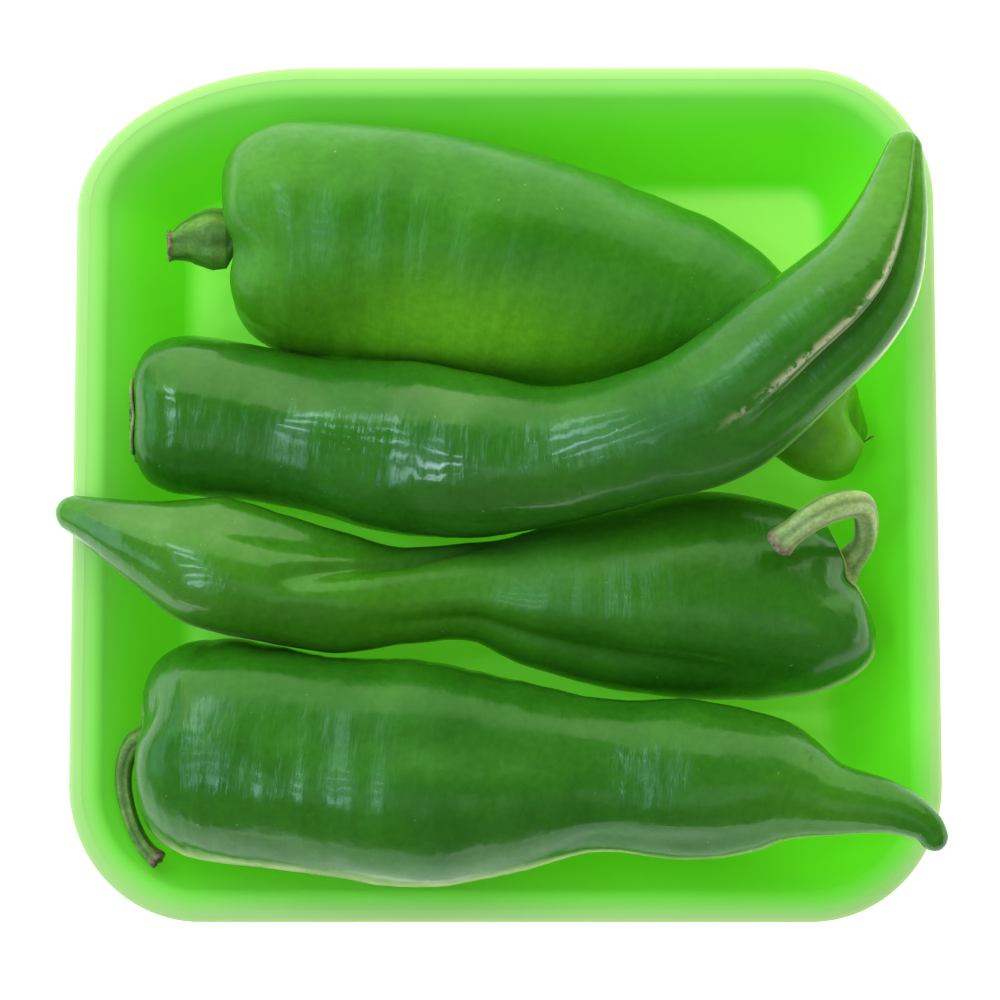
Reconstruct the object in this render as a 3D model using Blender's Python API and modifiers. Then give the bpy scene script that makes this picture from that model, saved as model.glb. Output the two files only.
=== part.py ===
"""Four long green peppers lying in a square produce tray.

Units are metres and +Z is up. The origin is the centre of the tray's
underside: +X runs along the peppers, +Y across them.
Nothing is fastened. Each pepper is one grown fruit with one grown stem, and
each is laid on whatever is already in the tray, so a change of size moves it
instead of pushing it into its neighbour.
"""
import math

import bpy
import bmesh
from mathutils import Matrix, Vector
from mathutils.bvhtree import BVHTree

# ---------------------------------------------------------------- the tray
TRAY_LENGTH = 0.190          # over the rim, along X
TRAY_WIDTH = 0.189           # over the rim, along Y
TRAY_HEIGHT = 0.026
SHEET = 0.0022               # thickness of the moulded sheet
LIP_WIDTH = 0.0055           # flat rim around the mouth
LIP_DROP = 0.0012            # how far the rim's outer edge turns down
WALL_RUN = 0.0175            # how far the wall leans out from floor to rim
BEND = 0.0030                # softness of the bends at floor and rim
CORNER = (0.029, 0.030)      # three corners, reach along X and along Y
SOFT_CORNER = (0.052, 0.033)  # the far left corner is looser

# ------------------------------------------------------------- the peppers
# Each fruit: length from crown to tip, greatest width, height as a share of
# the width, and where its crown lies in the tray with its heading in degrees.
BROAD_LENGTH = 0.1495
BROAD_WIDTH = 0.0516
BROAD_PLACE = (-0.0614, 0.0556, -18.5)

CURVED_LENGTH = 0.1769
CURVED_WIDTH = 0.0380
CURVED_PLACE = (-0.0812, 0.0160, 18.9)

TWISTED_LENGTH = 0.1736
TWISTED_WIDTH = 0.0464
TWISTED_PLACE = (0.0750, -0.0188, 175.3)

POINTED_LENGTH = 0.1727
POINTED_WIDTH = 0.0492
POINTED_PLACE = (-0.0786, -0.0582, -7.0)

# Bluntness of each tip, as a share of the half width.
BROAD_NOSE = 0.30
CURVED_NOSE = 0.16
TWISTED_NOSE = 0.14
POINTED_NOSE = 0.10

FLATNESS = 0.92              # height of a fruit's section over its width
CROWN_DIP = 0.10             # depth of the stem hollow over the half width

# ------------------------------------------------------------------- fits
CONTACT_GAP = 0.00035        # between a fruit and whatever it lies on
STEM_GAP = 0.00030           # between a calyx and its fruit's crown

AROUND = 24                  # facets around a fruit or stem
BODY_RINGS = 19

# Course of each fruit from crown to tip: (along, sideways, rise, girth).
# The first three are shares of the length, girth is a share of the half
# width. Sideways is to the left of the heading.
BROAD_COURSE = (
    (0.00, 0.002, 0.000, 0.97),
    (0.10, 0.044, 0.000, 1.00),
    (0.24, 0.082, 0.003, 0.99),
    (0.39, 0.102, 0.007, 0.95),
    (0.54, 0.112, 0.003, 0.86),
    (0.68, 0.121, -0.007, 0.72),
    (0.78, 0.088, -0.023, 0.60),
    (0.86, 0.036, -0.037, 0.47),
    (0.94, 0.010, -0.047, 0.44),
    (1.00, 0.000, -0.047, 0.36),
)
CURVED_COURSE = (
    (0.00, 0.000, 0.000, 0.93),
    (0.07, -0.024, 0.000, 0.93),
    (0.19, -0.088, 0.006, 0.88),
    (0.30, -0.149, 0.025, 0.99),
    (0.39, -0.194, 0.045, 0.93),
    (0.48, -0.225, 0.068, 0.78),
    (0.58, -0.238, 0.093, 0.75),
    (0.67, -0.239, 0.113, 0.81),
    (0.78, -0.202, 0.133, 0.76),
    (0.88, -0.158, 0.147, 0.66),
    (0.94, -0.097, 0.153, 0.45),
    (1.00, 0.000, 0.153, 0.15),
)
TWISTED_COURSE = (
    (0.00, 0.000, 0.000, 0.92),
    (0.05, 0.026, -0.003, 0.97),
    (0.16, 0.039, -0.006, 1.00),
    (0.28, 0.056, 0.000, 0.87),
    (0.39, 0.061, 0.014, 0.67),
    (0.47, 0.060, 0.029, 0.48),
    (0.56, 0.074, 0.046, 0.47),
    (0.63, 0.078, 0.063, 0.57),
    (0.72, 0.070, 0.078, 0.59),
    (0.81, 0.059, 0.086, 0.57),
    (0.88, 0.039, 0.086, 0.39),
    (0.95, 0.015, 0.075, 0.23),
    (1.00, 0.000, 0.063, 0.13),
)
POINTED_COURSE = (
    (0.00, 0.008, 0.000, 0.96),
    (0.10, 0.018, 0.000, 1.00),
    (0.22, 0.014, -0.001, 0.97),
    (0.35, 0.018, -0.004, 1.00),
    (0.46, 0.026, -0.013, 0.86),
    (0.57, 0.038, -0.019, 0.65),
    (0.69, 0.046, -0.019, 0.67),
    (0.79, 0.057, -0.010, 0.55),
    (0.86, 0.047, 0.002, 0.33),
    (0.93, 0.044, 0.013, 0.23),
    (0.98, 0.027, 0.013, 0.15),
    (1.00, 0.000, 0.010, 0.10),
)

# Furrows: (angle at start, angle at end, from, to, depth, half spread).
# Angles are degrees around the section, 0 = left of the heading, 90 = up.
# From and to are shares of the length, depth is a share of the radius.
BROAD_FURROWS = (
    (8.0, 14.0, -0.1, 0.5, 0.05, 24.0),
    (150.0, 140.0, -0.1, 0.6, 0.05, 24.0),
    (270.0, 270.0, -0.1, 0.8, 0.06, 26.0),
    (60.0, 60.0, 0.85, 1.1, 0.12, 24.0),
    (180.0, 180.0, 0.85, 1.1, 0.12, 24.0),
)
CURVED_FURROWS = (
    (60.0, 70.0, -0.1, 0.3, 0.05, 24.0),
    (126.0, 132.0, 0.58, 1.02, 0.14, 20.0),
    (250.0, 270.0, -0.1, 0.7, 0.06, 26.0),
)
TWISTED_FURROWS = (
    (150.0, 128.0, 0.40, 0.94, 0.20, 26.0),
    (30.0, 48.0, 0.06, 0.58, 0.14, 24.0),
    (100.0, 110.0, -0.1, 0.22, 0.07, 22.0),
    (262.0, 250.0, -0.1, 0.7, 0.06, 26.0),
)
POINTED_FURROWS = (
    (32.0, 24.0, -0.1, 0.16, 0.06, 22.0),
    (70.0, 84.0, 0.30, 0.72, 0.05, 24.0),
    (160.0, 146.0, 0.40, 0.76, 0.06, 22.0),
    (270.0, 270.0, -0.1, 0.7, 0.05, 26.0),
)

# Crown profile from the stem hollow outward: (share of the section, depth
# behind the foremost plane as a share of the half width).
CROWN = (
    (0.10, 1.00),
    (0.20, 0.92),
    (0.30, 0.66),
    (0.42, 0.26),
    (0.56, 0.00),
)
SHOULDER = ((0.72, 0.05), (0.85, 0.15), (0.94, 0.31), (0.99, 0.50))
SHOULDER_END = 0.66

# Stems leave the middle of the crown: (out, sideways, up, radius) in metres,
# on a fruit as wide as STEM_FITS says. A wider fruit grows its stem with it.
STEM_FITS = {"broad": 0.0516, "curved": 0.0380, "twisted": 0.0464,
             "pointed": 0.0492}
BROAD_STEM = (
    (0.0005, -0.0004, 0.0000, 0.0064),
    (0.0044, -0.0001, 0.0003, 0.0058),
    (0.0086, -0.0003, 0.0006, 0.0043),
    (0.0115, -0.0009, 0.0010, 0.0030),
    (0.0133, -0.0009, 0.0012, 0.0027),
)
CURVED_STEM = (
    (0.0000, 0.0000, 0.0000, 0.0036),
    (0.0007, 0.0000, 0.0000, 0.0030),
    (0.0014, 0.0000, 0.0001, 0.0026),
)
TWISTED_STEM = (
    (0.0020, -0.0027, 0.0020, 0.0030),
    (0.0056, -0.0044, 0.0070, 0.0023),
    (0.0078, -0.0083, 0.0145, 0.0023),
    (0.0074, -0.0114, 0.0200, 0.0026),
    (0.0027, -0.0128, 0.0240, 0.0028),
    (-0.0030, -0.0127, 0.0255, 0.0026),
    (-0.0077, -0.0119, 0.0245, 0.0024),
    (-0.0117, -0.0110, 0.0225, 0.0025),
)
POINTED_STEM = (
    (0.0004, 0.0018, -0.0014, 0.0032),
    (0.0028, 0.0010, -0.0014, 0.0023),
    (0.0044, -0.0018, -0.0018, 0.0020),
    (0.0053, -0.0067, -0.0032, 0.0019),
    (0.0044, -0.0126, -0.0036, 0.0019),
    (0.0025, -0.0177, -0.0036, 0.0019),
    (0.0000, -0.0217, -0.0032, 0.0019),
    (-0.0030, -0.0245, -0.0028, 0.0022),
)
CALYX_REACH = {"broad": 0.30, "curved": 0.56, "twisted": 0.42,
               "pointed": 0.42}      # share of the section it covers
CALYX_THICKNESS = 0.0011

# Colours
TRAY_GREEN = (0.10, 0.56, 0.03, 1.0)
BROAD_GREEN = (0.045, 0.16, 0.012, 1.0)
DARK_GREEN = (0.020, 0.105, 0.012, 1.0)
STEM_GREEN = (0.16, 0.28, 0.055, 1.0)


# --------------------------------------------------------------- utilities
def clear_scene():
    for item in list(bpy.data.objects):
        bpy.data.objects.remove(item, do_unlink=True)


def make_material(name, colour, roughness):
    material = bpy.data.materials.new(name)
    material.use_nodes = True
    shader = material.node_tree.nodes["Principled BSDF"]
    shader.inputs["Base Color"].default_value = colour
    shader.inputs["Roughness"].default_value = roughness
    material.diffuse_color = colour
    return material


def add_object(name, vertices, faces, material, collection):
    mesh = bpy.data.meshes.new(name)
    mesh.from_pydata([tuple(v) for v in vertices], [], faces)
    work = bmesh.new()
    work.from_mesh(mesh)
    bmesh.ops.recalc_face_normals(work, faces=work.faces)
    work.to_mesh(mesh)
    work.free()
    mesh.materials.append(material)
    for polygon in mesh.polygons:
        polygon.use_smooth = True
    item = bpy.data.objects.new(name, mesh)
    collection.objects.link(item)
    return item


def follow(rows, share):
    """Smooth curve through the rows, at a share (0..1) of their run."""
    run = [0.0]
    for before, after in zip(rows, rows[1:]):
        run.append(run[-1] + math.dist(before[:3], after[:3]))
    here = min(max(share, 0.0), 1.0) * run[-1]
    last = len(rows) - 1
    i = 0
    while i < last - 1 and run[i + 1] < here:
        i += 1

    def slope(k, axis):
        low, high = max(k - 1, 0), min(k + 1, last)
        return (rows[high][axis] - rows[low][axis]) / (run[high] - run[low])

    step = run[i + 1] - run[i]
    t = (here - run[i]) / step
    h00 = 2 * t ** 3 - 3 * t ** 2 + 1
    h10 = t ** 3 - 2 * t ** 2 + t
    h01 = 3 * t ** 2 - 2 * t ** 3
    h11 = t ** 3 - t ** 2
    return [
        h00 * rows[i][axis] + h01 * rows[i + 1][axis]
        + step * (h10 * slope(i, axis) + h11 * slope(i + 1, axis))
        for axis in range(len(rows[0]))
    ]


def loft(rings):
    """Closed skin over rings of points, with a pole at each end."""
    count = len(rings[0])
    vertices = [sum(rings[0], Vector()) / count]
    for ring in rings:
        vertices.extend(ring)
    vertices.append(sum(rings[-1], Vector()) / count)
    final = len(vertices) - 1
    faces = []
    for k in range(count):
        n = (k + 1) % count
        faces.append((0, 1 + n, 1 + k))
        for r in range(len(rings) - 1):
            a = 1 + r * count
            b = a + count
            faces.append((a + k, a + n, b + n, b + k))
        tail = final - count
        faces.append((final, tail + k, tail + n))
    return vertices, faces


# ----------------------------------------------------------------- fruits
def furrow_factor(furrows, along, degrees):
    factor = 1.0
    for start, end, low, high, depth, spread in furrows:
        t = (along - low) / (high - low)
        if not 0.0 < t < 1.0:
            continue
        fade = math.sin(math.pi * t) ** 0.7
        angle = start + (end - start) * t
        away = (degrees - angle + 180.0) % 360.0 - 180.0
        factor -= depth * fade * math.exp(-(away / spread) ** 2)
    return factor


def centre_and_frame(course, length, share):
    """Point on a fruit's middle line with its heading, left and up."""
    low = follow(course, max(share - 0.012, 0.0))
    high = follow(course, min(share + 0.012, 1.0))
    here = follow(course, share)
    ahead = Vector(high[:3]) - Vector(low[:3])
    ahead.normalize()
    left = Vector((0.0, 0.0, 1.0)).cross(ahead).normalized()
    up = ahead.cross(left)
    return Vector(here[:3]) * length, ahead, left, up, here[3]


def section(fruit, share, scale, shift=0.0):
    """One ring of a fruit at a share of its run, moved back by shift."""
    centre, ahead, left, up, girth = centre_and_frame(
        fruit["course"], fruit["length"], share
    )
    centre = centre - ahead * shift
    half = 0.5 * fruit["width"] * girth * scale
    ring = []
    for k in range(AROUND):
        degrees = 360.0 * k / AROUND
        turn = math.radians(degrees)
        r = half * furrow_factor(fruit["furrows"], share, degrees)
        ring.append(
            centre + left * (r * math.cos(turn))
            + up * (r * math.sin(turn) * FLATNESS)
        )
    return ring


def crown_share(fruit, depth):
    """Share of the run lying a given depth behind the foremost plane."""
    run = sum(
        math.dist(a[:3], b[:3])
        for a, b in zip(fruit["course"], fruit["course"][1:])
    )
    return depth / (run * fruit["length"])


def fruit_rings(fruit):
    half = 0.5 * fruit["width"]
    rings = []
    for scale, dip in CROWN:
        share = crown_share(fruit, dip * CROWN_DIP * half)
        rings.append(section(fruit, share, scale))
    for scale, depth in SHOULDER:
        rings.append(section(fruit, crown_share(fruit, depth * half), scale))
    start = crown_share(fruit, SHOULDER_END * half)
    nose = crown_share(fruit, fruit["nose"] * half)
    for k in range(BODY_RINGS + 1):
        share = start + (1.0 - nose - start) * k / BODY_RINGS
        rings.append(section(fruit, share, 1.0))
    for degrees in (32.0, 56.0, 76.0):
        turn = math.radians(degrees)
        share = 1.0 - nose * (1.0 - math.sin(turn))
        rings.append(section(fruit, share, math.cos(turn)))
    return rings


def stem_rings(fruit):
    """Calyx lying in the crown, then the stalk leaving its middle."""
    half = 0.5 * fruit["width"]
    rings = []
    top = []
    for scale, dip in CROWN:
        if scale > fruit["calyx"] + 0.01:
            break
        share = crown_share(fruit, dip * CROWN_DIP * half)
        rings.append(section(fruit, share, scale, STEM_GAP))
        top.append(
            section(fruit, share, scale * 0.94, STEM_GAP + CALYX_THICKNESS)
        )
    rings.extend(reversed(top[2:]))
    share = crown_share(fruit, 0.0)
    centre, ahead, left, up, _ = centre_and_frame(
        fruit["course"], fruit["length"], share
    )
    grown = fruit["width"] / fruit["stem_fits"]
    path = [
        (centre + (left * side - ahead * out + up * rise) * grown,
         radius * grown)
        for out, side, rise, radius in fruit["stem"]
    ]
    rows = [tuple(point) + (radius,) for point, radius in path]
    steps = 3 * (len(rows) - 1)
    for k in range(steps + 1):
        share = k / steps
        here = follow(rows, share)
        low = follow(rows, max(share - 0.02, 0.0))
        high = follow(rows, min(share + 0.02, 1.0))
        onward = (Vector(high[:3]) - Vector(low[:3])).normalized()
        if k == 0:
            flat = (left - onward * left.dot(onward)).normalized()
        else:
            flat = (flat - onward * flat.dot(onward)).normalized()
        other = -onward.cross(flat)
        rings.append([
            Vector(here[:3])
            + (flat * math.cos(2 * math.pi * j / AROUND)
               + other * math.sin(2 * math.pi * j / AROUND)) * here[3]
            for j in range(AROUND)
        ])
    return rings


# ------------------------------------------------------- laying them down
def edge_samples(vertices, faces):
    samples = list(vertices)
    seen = set()
    for face in faces:
        for a, b in zip(face, face[1:] + face[:1]):
            key = (min(a, b), max(a, b))
            if key not in seen:
                seen.add(key)
                samples.append((vertices[a] + vertices[b]) * 0.5)
    return samples


def fall(samples, skin, faces, carriers):
    """How far a coated pepper can drop before it first meets a carrier."""
    down = Vector((0.0, 0.0, -1.0))
    far = 1.0
    for point in samples:
        for tree, _ in carriers:
            hit = tree.ray_cast(point, down)
            if hit[0] is not None:
                far = min(far, hit[3])
    own = BVHTree.FromPolygons(skin, faces)
    low_x = min(v.x for v in skin)
    high_x = max(v.x for v in skin)
    low_y = min(v.y for v in skin)
    high_y = max(v.y for v in skin)
    for _, points in carriers:
        for point in points:
            if low_x < point.x < high_x and low_y < point.y < high_y:
                hit = own.ray_cast(point, -down)
                if hit[0] is not None:
                    far = min(far, hit[3])
    return far


def rest_pose(shell, faces, heading, carriers):
    """Pitch and drop that leave the pepper as low as it can lie."""
    middle = sum(shell, Vector()) / len(shell)
    axis = Vector((-math.sin(heading), math.cos(heading), 0.0))
    lifted = Matrix.Translation((0.0, 0.0, 0.25))

    def pose(pitch):
        turn = (
            Matrix.Translation(middle)
            @ Matrix.Rotation(pitch, 4, axis)
            @ Matrix.Translation(-middle)
        )
        move = lifted @ turn
        skin = [move @ v for v in shell]
        far = fall(edge_samples(skin, faces), skin, faces, carriers)
        return far, Matrix.Translation((0.0, 0.0, -far)) @ move

    golden = 0.5 * (math.sqrt(5.0) - 1.0)
    low, high = math.radians(-9.0), math.radians(9.0)
    a = high - golden * (high - low)
    b = low + golden * (high - low)
    far_a, far_b = pose(a)[0], pose(b)[0]
    for _ in range(9):
        if far_a > far_b:
            high, b, far_b = b, a, far_a
            a = high - golden * (high - low)
            far_a = pose(a)[0]
        else:
            low, a, far_a = a, b, far_b
            b = low + golden * (high - low)
            far_b = pose(b)[0]
    return pose(0.5 * (low + high))[1]


def coated(vertices, faces, thickness):
    mesh = bpy.data.meshes.new("coat")
    mesh.from_pydata([tuple(v) for v in vertices], [], faces)
    work = bmesh.new()
    work.from_mesh(mesh)
    bmesh.ops.recalc_face_normals(work, faces=work.faces)
    work.normal_update()
    shell = [v.co + v.normal * thickness for v in work.verts]
    work.free()
    bpy.data.meshes.remove(mesh)
    return shell


def place_pepper(fruit, carriers, collection):
    x, y, degrees = fruit["place"]
    heading = math.radians(degrees)
    set_down = (
        Matrix.Translation((x, y, 0.0)) @ Matrix.Rotation(heading, 4, "Z")
    )
    body, body_faces = loft(fruit_rings(fruit))
    stem, stem_faces = loft(stem_rings(fruit))
    body = [set_down @ v for v in body]
    stem = [set_down @ v for v in stem]
    shell = coated(body, body_faces, CONTACT_GAP)
    shell += coated(stem, stem_faces, CONTACT_GAP)
    faces = body_faces + [
        tuple(i + len(body) for i in face) for face in stem_faces
    ]
    move = rest_pose(shell, faces, heading, carriers)
    body = [move @ v for v in body]
    stem = [move @ v for v in stem]
    name = fruit["name"]
    skin = make_material(name + "_skin", fruit["green"], 0.22)
    add_object(name, body, body_faces, skin, collection)
    stalk = make_material(name + "_stem_skin", STEM_GREEN, 0.6)
    add_object(name + "_stem", stem, stem_faces, stalk, collection)
    carriers.append((
        BVHTree.FromPolygons(body + stem, faces),
        edge_samples(body + stem, faces),
    ))


# ------------------------------------------------------------------ tray
def tray_ring(inset, height):
    """Rounded square a given distance inside the rim's outer edge."""
    half_x = 0.5 * TRAY_LENGTH - inset
    half_y = 0.5 * TRAY_WIDTH - inset
    ring = []
    corners = ((1, 1, CORNER), (-1, 1, SOFT_CORNER),
               (-1, -1, CORNER), (1, -1, CORNER))
    for index, (sx, sy, reach) in enumerate(corners):
        rx = max(reach[0] - inset, 0.004)
        ry = max(reach[1] - inset, 0.004)
        for k in range(8):
            turn = 0.5 * math.pi * (index + k / 7)
            ring.append(Vector((
                sx * (half_x - rx) + rx * math.cos(turn),
                sy * (half_y - ry) + ry * math.sin(turn),
                height,
            )))
    return ring


def make_tray(collection, material):
    """Upper face of the sheet, thickened downward and outward."""
    wall_top = LIP_WIDTH
    wall_foot = LIP_WIDTH + WALL_RUN
    lean = (TRAY_HEIGHT - SHEET) / WALL_RUN
    profile = (
        (0.0, TRAY_HEIGHT - LIP_DROP),
        (0.0012, TRAY_HEIGHT - 0.25 * LIP_DROP),
        (0.0026, TRAY_HEIGHT),
        (wall_top - 0.4 * BEND, TRAY_HEIGHT),
        (wall_top + 0.2 * BEND, TRAY_HEIGHT - 0.12 * BEND),
        (wall_top + 0.6 * BEND, TRAY_HEIGHT - 0.6 * BEND * lean),
        (wall_foot - 0.6 * BEND, SHEET + 0.6 * BEND * lean),
        (wall_foot - 0.1 * BEND, SHEET + 0.22 * BEND),
        (wall_foot + 0.6 * BEND, SHEET),
    )
    work = bmesh.new()
    rings = [
        [work.verts.new(point) for point in tray_ring(inset, height)]
        for inset, height in profile
    ]
    for outer, inner in zip(rings, rings[1:]):
        for k, vertex in enumerate(outer):
            n = (k + 1) % len(outer)
            work.faces.new((vertex, outer[n], inner[n], inner[k]))
    work.faces.new(rings[-1])
    mesh = bpy.data.meshes.new("tray")
    work.normal_update()
    work.to_mesh(mesh)
    work.free()
    mesh.materials.append(material)
    for polygon in mesh.polygons:
        polygon.use_smooth = True
    tray = bpy.data.objects.new("tray", mesh)
    collection.objects.link(tray)
    thicken = tray.modifiers.new("sheet", "SOLIDIFY")
    thicken.thickness = SHEET
    thicken.offset = -1.0
    thicken.use_even_offset = True
    return tray


def finished_mesh(item):
    bpy.context.view_layer.update()
    graph = bpy.context.evaluated_depsgraph_get()
    shape = item.evaluated_get(graph)
    mesh = shape.to_mesh()
    points = [v.co.copy() for v in mesh.vertices]
    faces = [tuple(p.vertices) for p in mesh.polygons]
    shape.to_mesh_clear()
    return points, faces


def build():
    clear_scene()
    collection = bpy.data.collections.new("peppers_in_tray")
    bpy.context.scene.collection.children.link(collection)

    tray = make_tray(
        collection, make_material("tray_plastic", TRAY_GREEN, 0.35)
    )
    points, faces = finished_mesh(tray)
    carriers = [(BVHTree.FromPolygons(points, faces),
                 edge_samples(points, faces))]

    fruits = (
        dict(kind="broad", length=BROAD_LENGTH, width=BROAD_WIDTH,
             place=BROAD_PLACE, course=BROAD_COURSE, nose=BROAD_NOSE,
             furrows=BROAD_FURROWS, stem=BROAD_STEM, green=BROAD_GREEN),
        dict(kind="pointed", length=POINTED_LENGTH, width=POINTED_WIDTH,
             place=POINTED_PLACE, course=POINTED_COURSE, nose=POINTED_NOSE,
             furrows=POINTED_FURROWS, stem=POINTED_STEM, green=DARK_GREEN),
        dict(kind="twisted", length=TWISTED_LENGTH, width=TWISTED_WIDTH,
             place=TWISTED_PLACE, course=TWISTED_COURSE, nose=TWISTED_NOSE,
             furrows=TWISTED_FURROWS, stem=TWISTED_STEM, green=DARK_GREEN),
        dict(kind="curved", length=CURVED_LENGTH, width=CURVED_WIDTH,
             place=CURVED_PLACE, course=CURVED_COURSE, nose=CURVED_NOSE,
             furrows=CURVED_FURROWS, stem=CURVED_STEM, green=DARK_GREEN),
    )
    for fruit in fruits:
        fruit["name"] = fruit["kind"] + "_pepper"
        fruit["calyx"] = CALYX_REACH[fruit["kind"]]
        fruit["stem_fits"] = STEM_FITS[fruit["kind"]]
        place_pepper(fruit, carriers, collection)


build()
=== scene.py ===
"""Looks for the tray of long green peppers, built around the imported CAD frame."""
import math
import bpy
import numpy as np
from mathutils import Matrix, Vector


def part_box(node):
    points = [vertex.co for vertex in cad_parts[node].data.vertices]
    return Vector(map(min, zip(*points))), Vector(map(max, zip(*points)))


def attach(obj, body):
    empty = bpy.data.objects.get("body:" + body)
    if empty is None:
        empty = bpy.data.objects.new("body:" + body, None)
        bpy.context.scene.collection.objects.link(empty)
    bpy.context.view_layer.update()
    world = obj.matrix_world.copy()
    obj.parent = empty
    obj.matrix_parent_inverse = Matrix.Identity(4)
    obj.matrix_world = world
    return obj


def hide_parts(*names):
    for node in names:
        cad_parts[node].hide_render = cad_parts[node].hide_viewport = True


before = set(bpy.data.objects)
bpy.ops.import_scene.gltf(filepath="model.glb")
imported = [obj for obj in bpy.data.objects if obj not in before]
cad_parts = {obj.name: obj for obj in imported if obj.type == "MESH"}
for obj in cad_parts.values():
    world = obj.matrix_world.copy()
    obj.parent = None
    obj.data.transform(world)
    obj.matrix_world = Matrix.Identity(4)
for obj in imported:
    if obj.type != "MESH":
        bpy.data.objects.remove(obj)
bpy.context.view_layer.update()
scene = bpy.context.scene

# ------------------------------------------------------------------ camera
TILT = math.radians(6.4)
DISTANCE = 0.750
camera_data = bpy.data.cameras.new("camera")
camera_data.sensor_width = 36.0
camera_data.lens = 118.8
camera_data.shift_x = -0.0055
camera_data.shift_y = 0.0015
camera_data.clip_start = 0.01
camera = bpy.data.objects.new("camera", camera_data)
camera.location = (0.0, -DISTANCE * math.sin(TILT), DISTANCE * math.cos(TILT))
camera.rotation_euler = (TILT, 0.0, 0.0)
scene.collection.objects.link(camera)
scene.camera = camera
scene.view_settings.view_transform = "Standard"

# ---------------------------------------------------------- the CAD's shapes
# Tray, in metres. A corner is its radius along X and along Y.
SHEET = 0.0022
LIP_WIDTH = 0.0055
LIP_DROP = 0.0012
WALL_RUN = 0.0175
BEND = 0.0030
ROLL = 0.0060
CORNER = (0.029, 0.030)
SOFT_CORNER = (0.052, 0.033)
LEAST_CORNER = 0.004

# Fruits. FLATNESS is a section's height over its width. CROWN and SHOULDER are rows of
# (radius, depth) as shares of the half width, from the stem hollow outwards.
FLATNESS = 0.92
CROWN_DIP = 0.10
CROWN = ((0.10, 1.00), (0.20, 0.92), (0.30, 0.66), (0.42, 0.26), (0.56, 0.00))
SHOULDER = ((0.72, 0.05), (0.85, 0.15), (0.94, 0.31), (0.99, 0.50))
SHOULDER_END = 0.66

# Stems.
STEM_GAP = 0.00030
CALYX_THICKNESS = 0.0011
CALYX_START = 0.02

# Half the stretch of a course, in shares, that gives its direction.
LOOK = 0.012

# Mesh fineness.
AROUND = 160
DEGREES = np.arange(AROUND) * 360.0 / AROUND
STEM_AROUND = 72
FINENESS = 7

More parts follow.
